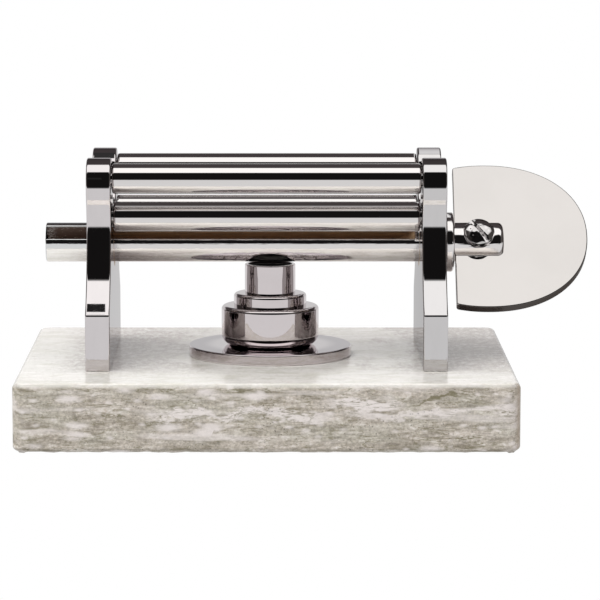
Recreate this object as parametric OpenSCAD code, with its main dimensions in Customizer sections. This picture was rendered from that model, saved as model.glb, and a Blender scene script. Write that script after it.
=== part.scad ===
// Roller tube squeezer: four rollers and a slotted winding shaft between two chromed side
// plates on a marble slab, with the tube's flanged cap standing loose below the shaft.
//
// Millimetres. The origin is under the middle of the slab, on the surface it stands on.
// +X runs along the shaft towards the key, +Y to the back and +Z up.
// Heights named *_z are measured from the top of the slab.

/* [Slab] */
// Width of the marble slab, along the shaft
base_w = 101.2; // [92:0.2:130]
// Depth of the marble slab, front to back
base_d = 80.6; // [64:0.2:100]
// Thickness of the marble slab
base_h = 14; // [12:0.2:20]
// Radius of the slab's upright corners
base_corner_r = 2.6; // [1.8:0.1:6]
// Radius that eases the slab's top and bottom edges
base_ease_r = 1.2; // [0.4:0.1:1.6]
// Thickness of the non-slip sheet under the slab
sheet_t = 0.5; // [0.4:0.1:1]
// Distance of the non-slip sheet's edge inside the slab's edge
sheet_inset = 6; // [2:0.5:8]

/* [Side plates] */
// Thickness of each side plate
plate_t = 5; // [4.2:0.1:7]
// Clear width between the side plates
bay_w = 63.7; // [56:0.1:72]
// Depth of a plate's foot, front to back
foot_d = 47.5; // [44:0.5:56]
// Height of the foot's upright faces
foot_h = 11.5; // [10:0.5:14]
// Depth of a plate at its waist
waist_d = 31; // [29:0.5:32]
// Height of the waist
waist_z = 29.1; // [27:0.1:30.5]
// Radius of the two horns that carry the top rollers
horn_r = 5.25; // [5:0.05:5.6]
// Distance of a horn's centre below the axis of its top roller
horn_drop = 0.8; // [0:0.1:1.2]

/* [Rollers] */
// Diameter of the rollers
roller_d = 6.2; // [5:0.1:6.6]
// Clear gap between the two top rollers
top_gap = 18; // [17:0.2:20]
// Height of the top rollers' axes
top_z = 38.2; // [37.4:0.1:42]
// Clear gap between the two lower rollers
throat_gap = 8; // [7.6:0.1:8.6]
// Height of the lower rollers' axes
throat_z = 29.85; // [29.7:0.05:30.6]
// End play between a roller and each side plate
roller_play = 0.15; // [0.1:0.05:0.4]
// Radius that rounds the rollers' ends
roller_edge_r = 0.5; // [0.2:0.1:1]
// Diameter of the journals at the rollers' ends
journal_d = 3; // [2:0.1:3.2]
// Length of a journal, from the roller's end
journal_l = 2.4; // [1.6:0.1:3]

/* [Bushes] */
// Radial running clearance of the rollers' journals
journal_gap = 0.03; // [0.02:0.01:0.08]
// Wall of the roller bushes
roller_bush_wall = 0.7; // [0.4:0.1:0.9]
// Depth left between a journal's end and the bottom of its blind bore
journal_end_gap = 0.3; // [0.2:0.1:0.6]
// Radial running clearance of the winding shaft
shaft_gap = 0.04; // [0.02:0.01:0.08]
// Wall of the shaft bushes
shaft_bush_wall = 0.9; // [0.6:0.1:1]

/* [Winding shaft] */
// Diameter of the winding shaft
shaft_d = 8.2; // [7.6:0.05:8.6]
// Height of the winding shaft's axis
shaft_z = 23.7; // [23.4:0.1:24.2]
// Length of the shaft that stands out of the left plate
shaft_overhang = 9.25; // [4:0.25:14]
// Radius that breaks the shaft's left end
shaft_edge_r = 0.25; // [0.1:0.05:0.6]
// Width of the winding slot
slot_w = 2.9; // [1.5:0.1:3.4]
// Depth of the winding slot, from the top of the shaft
slot_depth = 6; // [4.5:0.1:6.4]
// Distance of the slot's right end from the right plate
slot_end_gap = 0.85; // [0.4:0.05:4]
// Radius of the curved run-out at the slot's right end
slot_runout_r = 8; // [7:0.5:14]
// Diameter of the shaft's flange
flange_d = 12.5; // [11.4:0.1:14]
// Thickness of the shaft's flange
flange_t = 1.7; // [1.4:0.1:3]
// Radius that rounds the flange's outer edge
flange_edge_r = 0.7; // [0.3:0.1:0.9]
// Turn of the shaft and key about the shaft's axis, from slot upwards towards slot forwards
winder_turn = 51; // [0:1:90]

/* [Thrust washer] */
// Diameter of the thrust washer
washer_d = 11.4; // [10.8:0.1:12.2]
// Thickness of the thrust washer
washer_t = 0.5; // [0.3:0.1:1]
// End play between the thrust washer and the flange
washer_play = 0.05; // [0.02:0.01:0.1]

/* [Key] */
// Length of the forked stub that holds the key, from the flange
stub_l = 10.4; // [9.4:0.1:13]
// Radius that rounds the stub's end
stub_edge_r = 1.2; // [0.4:0.1:1.4]
// Thickness of the key plate
key_t = 2.2; // [1.6:0.1:2.8]
// Half length of the full oval that the key plate is cut from, along the shaft
key_a = 21.1; // [18:0.1:26]
// Half height of that oval
key_b = 17.6; // [12:0.1:20]
// Fullness of that oval, where 2 is an ellipse and more is squarer
key_fullness = 2.16; // [2:0.02:2.4]
// Distance of that oval's middle behind the shaft's axis, along the key's face
key_lift = 1; // [0:0.1:1.5]
// Distance from the key's straight edge to the middle of that oval
key_cut = 6.7; // [4:0.1:10]
// Radius of the key's two corners
key_corner_r = 0.8; // [0.3:0.1:2]
// Gap between the flange and the key's straight edge
key_gap = 0.2; // [0.1:0.05:0.5]
// Distance of the key screw from the flange
key_screw_x = 5.1; // [4.4:0.1:5.4]
// Thread diameter of the key screw
key_screw_d = 3; // [2.5:0.1:3.2]
// Diameter of the key screw's head
key_head_d = 6.2; // [5:0.1:6.3]
// Height of the head's upright rim
key_rim_h = 1.5; // [0.8:0.1:1.8]
// Height of the head's dome above its rim
key_dome_h = 1.1; // [0.5:0.1:1.4]
// Height of the head's seat above the shaft's axis
key_seat_z = 2.66; // [2.3:0.02:2.9]
// Width of the head's driver slot
key_driver_w = 0.75; // [0.4:0.05:1]
// Depth of the head's driver slot, from the top of the dome
key_driver_h = 1.2; // [0.6:0.1:1.8]
// Turn of the driver slot from the shaft's direction
key_driver_turn = -56; // [-90:1:90]

/* [Cap] */
// Place of the cap along the shaft, from the middle of the slab
cap_x = 0.7; // [-10:0.1:10]
// Diameter of the cap's flange
cap_flange_d = 34.1; // [26:0.1:38]
// Thickness of the cap's flange
cap_flange_h = 2.2; // [1.2:0.1:3]
// Diameter of the cap's body
cap_body_d = 20.4; // [17:0.1:24]
// Height of the body's top
cap_body_z = 10.5; // [8:0.1:11]
// Diameter of the cap's step
cap_step_d = 15.2; // [12.6:0.1:16]
// Height of the step's top
cap_step_z = 13.1; // [11.6:0.1:14]
// Outer diameter of the cap's neck
cap_neck_d = 10.6; // [10:0.1:11.6]
// Height of the neck's rim
cap_neck_z = 19.2; // [16:0.1:19.2]
// Radius that rounds the body's upper edge
cap_body_edge_r = 0.85; // [0.3:0.05:1.2]
// Radius that rounds the body's lower edge, on the flange
cap_body_foot_r = 2.2; // [0.8:0.1:2.5]
// Radius that rounds the step's edge
cap_step_edge_r = 0.7; // [0.3:0.05:1]
// Radius that breaks the flange's edges
cap_flange_edge_r = 0.3; // [0.1:0.05:0.5]
// Radius that breaks the neck's rim
cap_rim_edge_r = 0.2; // [0.1:0.05:0.3]
// Wall of the neck round its bore
cap_wall = 0.7; // [0.5:0.05:0.9]
// Height of the bore's floor
cap_floor_z = 8.2; // [3:0.1:10]
// Thickness of the sealing liner on that floor
liner_t = 1; // [0.5:0.1:1.5]
// Wall of the thread insert in the neck
insert_wall = 0.6; // [0.4:0.1:1]
// Distance of the thread insert's top below the rim
insert_drop = 0.5; // [0.2:0.1:2]

/* [Plate screws] */
// Distance between the two screws of one plate
plate_screw_pitch = 30; // [16:1:36]
// Thread diameter of the plate screws
plate_screw_d = 3; // [2.5:0.1:3]
// Length of the plate screws, below the head
plate_screw_l = 12; // [11:0.5:13]
// Diameter of the plate screws' heads
plate_head_d = 5.5; // [5:0.1:6]
// Height of the plate screws' heads
plate_head_h = 3; // [2:0.1:3.4]
// Width across the flats of the hexagon socket
plate_socket_w = 2.5; // [2:0.1:3]
// Depth of the hexagon socket
plate_socket_h = 1.5; // [1:0.1:1.8]
// Diameter of the clearance holes through the slab
plate_clear_d = 3.4; // [3.2:0.1:4]
// Diameter of the counterbores under the slab
counterbore_d = 8; // [7.4:0.1:10]
// Thickness of marble left above the counterbores
counterbore_roof = 5.8; // [5:0.1:7]
// Diameter of the washers under the heads
screw_washer_d = 7; // [6.4:0.1:7.2]
// Thickness of the washers under the heads
screw_washer_t = 0.5; // [0.4:0.1:1]
// Depth left past the screws' ends in the plates
tap_spare = 1; // [0.5:0.1:2]

/* [Hidden] */
$fn = 96;
cut = 1;                                        // how far a cutting tool reaches past a face

slab_top = sheet_t + base_h;
plate_x = (bay_w + plate_t) / 2;                // middle of a side plate
outer_x = bay_w / 2 + plate_t;                  // outer face of a side plate

top_y = (top_gap + roller_d) / 2;
throat_y = (throat_gap + roller_d) / 2;
LANES = [[-top_y, top_z], [top_y, top_z], [-throat_y, throat_z], [throat_y, throat_z]];
FRONT_TOP = LANES[0];
BACK_TOP = LANES[1];
FRONT_LOWER = LANES[2];
BACK_LOWER = LANES[3];

// A plate's half outline is three arcs: the horn, the throat under it and the flare to the foot.
// The flare runs from the foot's edge to the waist, and the throat from the waist to the horn.
horn_z = top_z - horn_drop;
notch_r = top_y - horn_r;
flare_in = (foot_d - waist_d) / 2;
flare_rise = waist_z - foot_h;
flare_r = (flare_in * flare_in + flare_rise * flare_rise) / (2 * flare_in);
horn_out = waist_d / 2 - top_y;
horn_rise = horn_z - waist_z;
throat_r = (horn_out * horn_out + horn_rise * horn_rise - horn_r * horn_r) / (2 * (horn_r - horn_out));
throat_centre = [waist_d / 2 + throat_r, waist_z];
horn_centre = [top_y, horn_z];
horn_join = throat_centre + (horn_centre - throat_centre) * throat_r / (throat_r + horn_r);

roller_l = bay_w - 2 * roller_play;
roller_bush_in_d = journal_d + 2 * journal_gap;
roller_bush_d = roller_bush_in_d + 2 * roller_bush_wall;
blind_bore_l = journal_l + journal_end_gap;     // the bush fills the blind bore

shaft_r = shaft_d / 2;
shaft_bush_in_d = shaft_d + 2 * shaft_gap;
shaft_bush_d = shaft_bush_in_d + 2 * shaft_bush_wall;
flange_x = outer_x + washer_t + washer_play;
flange_face_x = flange_x + flange_t;
stub_end_x = flange_face_x + stub_l;
shaft_start_x = -outer_x - shaft_overhang;
slot_end_x = bay_w / 2 - slot_end_gap;
slot_floor = shaft_r - slot_depth;
runout_reach = sqrt(pow(slot_runout_r, 2) - pow(slot_runout_r - slot_depth, 2));
runout_x = slot_end_x - runout_reach;           // middle of the cutter that leaves the run-out

key_edge_x = flange_face_x + key_gap;
screw_x = flange_face_x + key_screw_x;
key_clear_d = key_screw_d + 0.2;
key_seat_d = key_head_d + 0.3;
dome_r = (pow(key_head_d / 2, 2) + pow(key_dome_h, 2)) / (2 * key_dome_h);
key_screw_end = 0.4;                            // distance of the screw's end inside the shaft's back

cap_bore_d = cap_neck_d - 2 * cap_wall;
insert_floor_z = cap_floor_z + liner_t;
insert_top_z = cap_neck_z - insert_drop;

counterbore_h = base_h - counterbore_roof;
head_seat_z = sheet_t + counterbore_h - screw_washer_t;
tap_depth = plate_screw_l - screw_washer_t - counterbore_roof + tap_spare;

// ---- shared shapes ----

// Half profile of a bar that stands on the X axis, with its lower and upper edge rounded
module bar_profile(r, length, low_edge, high_edge) {
    inner = max(low_edge, high_edge);
    square([r - inner, length]);
    translate([0, low_edge]) square([r, length - low_edge - high_edge]);
    translate([r - low_edge, low_edge]) circle(low_edge);
    translate([r - high_edge, length - high_edge]) circle(high_edge);
    square([r - low_edge, low_edge]);
    translate([0, length - high_edge]) square([r - high_edge, high_edge]);
}

// Round bar along +X from the origin, with both ends rounded
module bar_x(d, length, left_edge, right_edge) {
    rotate([0, 90, 0]) rotate_extrude() bar_profile(d / 2, length, left_edge, right_edge);
}

// Plain round bar along +X from the origin, which also serves as a drill
module rod_x(d, length) {
    rotate([0, 90, 0]) cylinder(d = d, h = length);
}

// Ring along +X from the origin
module ring_x(outer_d, inner_d, length) {
    difference() {
        rod_x(outer_d, length);
        translate([-cut, 0, 0]) rod_x(inner_d, length + 2 * cut);
    }
}

// Rectangle with round corners, centred
module rounded_rect(w, d, r) {
    square([w, d - 2 * r], center = true);
    square([w - 2 * r, d], center = true);
    for (x = [-1, 1], y = [-1, 1])
        translate([x * (w / 2 - r), y * (d / 2 - r)]) circle(r);
}

// Block on the XY plane with round upright corners and eased top and bottom edges: the same
// half profile is turned at the corners and drawn straight along the sides
module eased_block(w, d, h, corner, ease) {
    core_w = w - 2 * corner;
    core_d = d - 2 * corner;
    translate([-core_w / 2, -core_d / 2, 0]) cube([core_w, core_d, h]);
    for (side = [-1, 1]) {
        for (end = [-1, 1])
            translate([side * core_w / 2, end * core_d / 2, 0])
                rotate_extrude() bar_profile(corner, h, ease, ease);
        rotate([0, 0, 90 - side * 90]) translate([0, core_d / 2, 0])
            rotate([90, 0, 90]) linear_extrude(core_w, center = true) bar_profile(corner, h, ease, ease);
        rotate([0, 0, 90 - side * 90]) translate([core_w / 2, 0, 0])
            rotate([90, 0, 0]) linear_extrude(core_d, center = true) bar_profile(corner, h, ease, ease);
    }
}

// Puts its children at the two screws of a plate; side is -1 on the left and 1 on the right
module at_plate_screws(side) {
    for (end = [-1, 1])
        translate([side * plate_x, end * plate_screw_pitch / 2, 0]) children();
}

// Turns its children with the winding shaft: their X axis is the shaft's, and +Z its slot's mouth
module with_winder() {
    translate([0, 0, slab_top + shaft_z]) rotate([winder_turn, 0, 0]) children();
}

// ---- slab ----

module marble_base() {
    color([0.80, 0.81, 0.78]) difference() {
        translate([0, 0, sheet_t]) eased_block(base_w, base_d, base_h, base_corner_r, base_ease_r);
        for (side = [-1, 1]) at_plate_screws(side) {
            cylinder(d = plate_clear_d, h = slab_top + cut);
            cylinder(d = counterbore_d, h = sheet_t + counterbore_h);
        }
    }
}

module non_slip_sheet() {
    color([0.80, 0.80, 0.78]) linear_extrude(sheet_t)
        rounded_rect(base_w - 2 * sheet_inset, base_d - 2 * sheet_inset, base_corner_r);
}

// ---- side plates ----

// Front half of a plate's outline, mirrored to both ends; X is the distance from the middle
module plate_half_outline() {
    difference() {
        union() {
            square([foot_d / 2, foot_h]);
            translate([0, foot_h]) square([foot_d / 2, flare_rise]);
            polygon([[0, waist_z], [waist_d / 2, waist_z], horn_join, horn_centre, [0, horn_z]]);
            translate(horn_centre) circle(horn_r);
        }
        intersection() {
            translate([waist_d / 2 + flare_r, waist_z]) circle(flare_r);
            translate([0, foot_h - cut]) square([foot_d, flare_rise + cut]);
        }
        intersection() {
            translate(throat_centre) circle(throat_r);
            translate([0, waist_z]) square([foot_d, throat_r + cut]);
        }
    }
}

module plate_outline() {
    difference() {
        for (end = [0, 1]) mirror([end, 0]) plate_half_outline();
        translate([0, horn_z]) circle(notch_r);
    }
}

module side_plate(side) {
    difference() {
        translate([side * plate_x, 0, slab_top])
            rotate([90, 0, 90]) linear_extrude(plate_t, center = true) plate_outline();
        for (lane = LANES)
            translate([side * (bay_w / 2 - cut), lane[0], slab_top + lane[1]])
                rotate([0, 0, 90 - side * 90]) rod_x(roller_bush_d, blind_bore_l + cut);
        translate([side * plate_x - plate_t, 0, slab_top + shaft_z]) rod_x(shaft_bush_d, 2 * plate_t);
        at_plate_screws(side) translate([0, 0, slab_top - cut]) cylinder(d = plate_screw_d, h = tap_depth + cut);
    }
}

module left_side_plate() { color([0.78, 0.78, 0.80]) side_plate(-1); }
module right_side_plate() { color([0.78, 0.78, 0.80]) side_plate(1); }

// ---- rollers and their bushes ----

// Roller with a journal turned at each end; lane is [distance back, height]
module roller(lane) {
    color([0.82, 0.82, 0.84]) translate([0, lane[0], slab_top + lane[1]]) {
        translate([-roller_l / 2, 0, 0]) bar_x(roller_d, roller_l, roller_edge_r, roller_edge_r);
        translate([-roller_l / 2 - journal_l, 0, 0]) rod_x(journal_d, roller_l + 2 * journal_l);
    }
}

module roller_bush(lane, side) {
    color([0.20, 0.20, 0.21]) translate([side * bay_w / 2, lane[0], slab_top + lane[1]])
        rotate([0, 0, 90 - side * 90]) ring_x(roller_bush_d, roller_bush_in_d, blind_bore_l);
}

module shaft_bush(side) {
    color([0.55, 0.40, 0.24]) translate([side * plate_x - plate_t / 2, 0, slab_top + shaft_z])
        ring_x(shaft_bush_d, shaft_bush_in_d, plate_t);
}

// ---- winding shaft, key and key screw ----

// Outline of the winding slot, seen from the shaft's front: X along the shaft, Y across it
module slot_outline() {
    translate([shaft_start_x - cut, slot_floor])
        square([runout_x - shaft_start_x + cut, slot_depth + cut]);
    intersection() {
        translate([runout_x, slot_floor + slot_runout_r]) circle(slot_runout_r);
        translate([runout_x, slot_floor]) square([slot_runout_r, slot_depth + cut]);
    }
}

module winding_shaft() {
    color([0.80, 0.80, 0.82]) with_winder() difference() {
        union() {
            translate([shaft_start_x, 0, 0])
                bar_x(shaft_d, stub_end_x - shaft_start_x, shaft_edge_r, stub_edge_r);
            translate([flange_x, 0, 0]) bar_x(flange_d, flange_t, shaft_edge_r, flange_edge_r);
        }
        rotate([90, 0, 0]) linear_extrude(slot_w, center = true) slot_outline();
        translate([key_edge_x, -shaft_d, -key_t / 2]) cube([stub_l + cut, 2 * shaft_d, key_t]);
        translate([screw_x, 0, -shaft_r - cut]) cylinder(d = key_screw_d, h = shaft_r + cut);
        translate([screw_x, 0, 0]) cylinder(d = key_clear_d, h = shaft_r);
        translate([screw_x, 0, key_seat_z]) cylinder(d = key_seat_d, h = shaft_r);
    }
}

module thrust_washer() {
    color([0.14, 0.14, 0.15]) translate([outer_x, 0, slab_top + shaft_z])
        ring_x(washer_d, shaft_bush_in_d, washer_t);
}

// Half length of the oval times its place along it, from the cosine or sine of its angle
function oval(half, ratio) = half * sign(ratio) * pow(abs(ratio), 2 / key_fullness);

// Oval cut off straight at the flange's side, seen square to the key's face
module key_outline() {
    half_angle = acos(-pow(key_cut / key_a, key_fullness / 2));
    steps = 72;
    translate([key_edge_x + key_cut, key_lift]) offset(r = key_corner_r) offset(delta = -key_corner_r)
        polygon([for (i = [0 : steps])
            let (angle = half_angle * (2 * i / steps - 1)) [oval(key_a, cos(angle)), oval(key_b, sin(angle))]]);
}

module key_plate() {
    color([0.88, 0.87, 0.85]) with_winder() difference() {
        linear_extrude(key_t, center = true) key_outline();
        translate([screw_x, 0, -key_t]) cylinder(d = key_clear_d, h = 2 * key_t);
    }
}

module key_screw() {
    dome_top = key_seat_z + key_rim_h + key_dome_h;
    color([0.78, 0.77, 0.77]) with_winder() translate([screw_x, 0, 0]) {
        difference() {
            intersection() {
                translate([0, 0, key_seat_z]) cylinder(d = key_head_d, h = key_rim_h + key_dome_h);
                translate([0, 0, dome_top - dome_r]) sphere(dome_r);
            }
            rotate([0, 0, key_driver_turn]) translate([-key_head_d, -key_driver_w / 2, dome_top - key_driver_h])
                cube([2 * key_head_d, key_driver_w, key_driver_h + cut]);
        }
        translate([0, 0, key_screw_end - shaft_r])
            cylinder(d = key_screw_d, h = key_seat_z + shaft_r - key_screw_end);
    }
}

// ---- cap ----

// Puts its children on the slab at the cap's place
module at_cap() {
    translate([cap_x, 0, slab_top]) children();
}

module cap_shell() {
    color([0.80, 0.80, 0.81]) at_cap() rotate_extrude() difference() {
        union() {
            bar_profile(cap_flange_d / 2, cap_flange_h, cap_flange_edge_r, cap_flange_edge_r);
            translate([0, cap_flange_h])
                bar_profile(cap_body_d / 2, cap_body_z - cap_flange_h, cap_body_foot_r, cap_body_edge_r);
            translate([0, cap_flange_h])
                bar_profile(cap_step_d / 2, cap_step_z - cap_flange_h, cap_step_edge_r, cap_step_edge_r);
            translate([0, cap_flange_h])
                bar_profile(cap_neck_d / 2, cap_neck_z - cap_flange_h, cap_rim_edge_r, cap_rim_edge_r);
        }
        translate([0, cap_floor_z]) square([cap_bore_d / 2, cap_neck_z]);
    }
}

module cap_liner() {
    color([0.90, 0.90, 0.88]) at_cap() translate([0, 0, cap_floor_z]) cylinder(d = cap_bore_d, h = liner_t);
}

module cap_thread_insert() {
    color([0.10, 0.10, 0.11]) at_cap() difference() {
        translate([0, 0, insert_floor_z]) cylinder(d = cap_bore_d, h = insert_top_z - insert_floor_z);
        translate([0, 0, insert_floor_z - cut])
            cylinder(d = cap_bore_d - 2 * insert_wall, h = insert_top_z - insert_floor_z + 2 * cut);
    }
}

// ---- fasteners ----

module plate_screws(side) {
    color([0.62, 0.62, 0.64]) at_plate_screws(side) {
        difference() {
            translate([0, 0, head_seat_z - plate_head_h]) cylinder(d = plate_head_d, h = plate_head_h);
            translate([0, 0, head_seat_z - plate_head_h - cut])
                cylinder(d = plate_socket_w / cos(30), h = plate_socket_h + cut, $fn = 6);
        }
        translate([0, 0, head_seat_z]) cylinder(d = plate_screw_d, h = plate_screw_l);
    }
}

module screw_washers(side) {
    color([0.62, 0.62, 0.64]) at_plate_screws(side) difference() {
        translate([0, 0, head_seat_z]) cylinder(d = screw_washer_d, h = screw_washer_t);
        translate([0, 0, head_seat_z - cut]) cylinder(d = plate_clear_d, h = screw_washer_t + 2 * cut);
    }
}

marble_base();
non_slip_sheet();
left_side_plate();
right_side_plate();
roller(FRONT_TOP);  // front_top_roller
roller(BACK_TOP);  // back_top_roller
roller(FRONT_LOWER);  // front_lower_roller
roller(BACK_LOWER);  // back_lower_roller
roller_bush(FRONT_TOP, -1);  // front_top_left_bush
roller_bush(BACK_TOP, -1);  // back_top_left_bush
roller_bush(FRONT_LOWER, -1);  // front_lower_left_bush
roller_bush(BACK_LOWER, -1);  // back_lower_left_bush
roller_bush(FRONT_TOP, 1);  // front_top_right_bush
roller_bush(BACK_TOP, 1);  // back_top_right_bush
roller_bush(FRONT_LOWER, 1);  // front_lower_right_bush
roller_bush(BACK_LOWER, 1);  // back_lower_right_bush
shaft_bush(-1);  // left_shaft_bush
shaft_bush(1);  // right_shaft_bush
winding_shaft();
thrust_washer();
key_plate();
key_screw();
cap_shell();
cap_thread_insert();
cap_liner();
plate_screws(-1);  // left_plate_screws
plate_screws(1);  // right_plate_screws
screw_washers(-1);  // left_screw_washers
screw_washers(1);  // right_screw_washers
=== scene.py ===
"""Roller tube squeezer on a marble slab: its dressed pieces, its finishes, the studio and the camera."""
import logging
import math
from dataclasses import dataclass
from enum import Enum
from typing import Iterable, Mapping, Optional, Sequence, Union

import bmesh
import bpy
from mathutils import Matrix, Vector, noise


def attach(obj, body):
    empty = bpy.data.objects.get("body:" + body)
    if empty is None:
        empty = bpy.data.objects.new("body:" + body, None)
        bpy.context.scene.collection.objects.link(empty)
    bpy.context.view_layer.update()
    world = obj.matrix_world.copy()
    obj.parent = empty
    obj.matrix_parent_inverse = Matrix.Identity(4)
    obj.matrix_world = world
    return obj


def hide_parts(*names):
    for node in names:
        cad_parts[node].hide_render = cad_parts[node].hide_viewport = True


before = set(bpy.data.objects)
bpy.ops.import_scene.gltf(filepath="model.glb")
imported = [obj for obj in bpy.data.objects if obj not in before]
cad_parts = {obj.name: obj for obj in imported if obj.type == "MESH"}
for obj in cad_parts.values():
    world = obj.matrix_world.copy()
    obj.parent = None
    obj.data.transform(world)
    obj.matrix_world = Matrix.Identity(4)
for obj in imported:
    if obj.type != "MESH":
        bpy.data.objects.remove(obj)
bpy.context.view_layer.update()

LOG = logging.getLogger("tube_squeezer")
MM = 0.001
SLAB_TOP = 14.5
FLAT = 1e-4  # mm within which heights are the same
JOINED = 1e-3  # mm within which a piece's vertices are merged
PARALLEL = 0.9999  # cosine past which two directions are the same
NEARLY = 0.999  # share of a full rounding, so that no edge beside it vanishes
UPRIGHT = 1.0  # mm of rise past which an edge is upright
SQUARE = 60.0  # degrees past which an edge is a square corner
SHADED = 33.0  # degrees past which an edge is shaded sharp
ROUND_STEPS = 6  # steps of a rounding in a turned profile
HOLE_STEPS = 72  # steps of a bore's rim
MIDDLE = (0.3, 0.7)  # the range that most of a noise's values lie in
UPPER = (0.40, 0.80)  # its upper part
ALONG = Vector((1.0, 0.0, 0.0))
UP = Vector((0.0, 0.0, 1.0))
Triple = tuple[float, float, float]
Colour = Triple
Point = tuple[float, float]
Socket = bpy.types.NodeSocket
Vert = bmesh.types.BMVert
Edge = bmesh.types.BMEdge
Value = Union[float, Socket]
Tone = Union[Colour, Socket]
BLACK: Colour = (0.0, 0.0, 0.0)
WHITE: Colour = (1.0, 1.0, 1.0)
BRIGHT: Colour = (0.81, 0.785, 0.78)


class Side(Enum):
    """The two side plates, by the sign of their place along X."""

    LEFT = -1
    RIGHT = 1


class Ease(Enum):
    """How strongly a piece's flat faces rule the shading at its eased edges."""

    MIRROR = 100
    SOFT = 50


# ---- finishes ----


@dataclass(frozen=True)
class Grain:
    """A noise: its units per millimetre, its octaves, their strength, its warp, its origin and its lumps per unit."""

    stretch: Triple = (1.0, 1.0, 1.0)
    detail: float = 4.0
    roughness: float = 0.55
    distortion: float = 0.0
    centre: Triple = (0.0, 0.0, 0.0)
    scale: float = 1.0


class Nodes:
    """The nodes of a material or of the world, added a step at a time."""

    def __init__(self, tree: bpy.types.NodeTree) -> None:
        """Starts on a node tree."""
        self.tree = tree

    def new(self, kind: str, **options: str) -> bpy.types.Node:
        """Adds a node.

        Args:
            kind: what follows ShaderNode in the name of its type.
            options: its settings, by name.

        Returns:
            The node.
        """
        node = self.tree.nodes.new(f"ShaderNode{kind}")
        for name, option in options.items():
            setattr(node, name, option)
        return node

    def fill(self, node: bpy.types.Node, feeds: Mapping[Union[str, int], Union[Value, Sequence[float]]],
             out: Union[str, int] = 0) -> Socket:
        """Sets a node's inputs to numbers, vectors or colours, or links them to sockets.

        Args:
            node: the node to fill.
            feeds: what each input gets, by the input's name or number.
            out: the name or number of the output that is wanted.

        Returns:
            The output's socket.
        """
        for key, value in feeds.items():
            socket = node.inputs[key]
            if isinstance(value, Socket):
                self.tree.links.new(value, socket)
            elif isinstance(value, (int, float)):
                socket.default_value = value
            else:
                socket.default_value = (*value, 1.0) if socket.type == "RGBA" else tuple(value)
        return node.outputs[out]

    def split(self, vector: Socket) -> tuple[Socket, ...]:
        """The X, Y and Z sockets of a vector socket."""
        self.fill(node := self.new("SeparateXYZ"), {0: vector})
        return tuple(node.outputs)

    def sum(self, kind: str, *values: Value) -> Socket:
        """A Math node's result, from its operation's name and its values in order."""
        return self.fill(self.new("Math", operation=kind), dict(enumerate(values)))

    def times(self, one: Value, two: Value) -> Socket:
        """The product of two values."""
        return self.sum("MULTIPLY", one, two)

    def plus(self, one: Value, two: Value) -> Socket:
        """The sum of two values."""
        return self.sum("ADD", one, two)

    def off(self, one: Value, two: Value = 0.0) -> Socket:
        """How far two values are apart."""
        return self.sum("ABSOLUTE", self.sum("SUBTRACT", one, two) if two else one)

    def reach(self, one: Socket, two: Socket) -> Socket:
        """The distance from an axis, from the two distances across it."""
        return self.sum("SQRT", self.plus(self.times(one, one), self.times(two, two)))

    def span(self, value: Value, low: float, high: float, start: float = 0.0, end: float = 1.0) -> Socket:
        """A smooth step from start to end as value goes from low to high."""
        return self.fill(self.new("MapRange", interpolation_type="SMOOTHSTEP"), {
            "Value": value, "From Min": low, "From Max": high, "To Min": start, "To Max": end})

    def fall(self, value: Value, low: float, high: float, start: float = 1.0) -> Socket:
        """A smooth step from start down to 0 as value goes from low to high."""
        return self.span(value, low, high, start, 0.0)

    def window(self, value: Value, rise_at: Point, fall_at: Point) -> Socket:
        """A mask that steps up from 0 to 1 between two values, and down again between two more."""
        return self.times(self.span(value, *rise_at), self.fall(value, *fall_at))

    def ramp(self, value: Socket, stops: Sequence[tuple[float, Colour]]) -> Socket:
        """A colour ramp.

        Args:
            value: the socket that drives it.
            stops: (place, colour) pairs in rising order.

        Returns:
            The colour socket.
        """
        node = self.new("ValToRGB")
        elements = node.color_ramp.elements
        for element, (place, colour) in zip(elements, (stops[0], stops[-1])):
            element.position, element.color = place, (*colour, 1.0)
        for place, colour in stops[1:-1]:
            elements.new(place).color = (*colour, 1.0)
        return self.fill(node, {0: value})

    def blend(self, share: Value, under: Tone, over: Tone, how: str = "MIX") -> Socket:
        """One colour laid over another, by a share and a blending mode."""
        return self.fill(self.new("Mix", data_type="RGBA", blend_type=how), {"Factor": share, 6: under, 7: over}, 2)

    def coats(self, base: Tone, *coats: tuple[Value, Tone]) -> Socket:
        """Colours laid one after the other over a base.

        Args:
            base: the lowest colour.
            coats: the share and the colour of each coat, from the lowest up.

        Returns:
            The colour socket.
        """
        for share, colour in coats:
            base = self.blend(share, base, colour)
        return base


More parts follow.
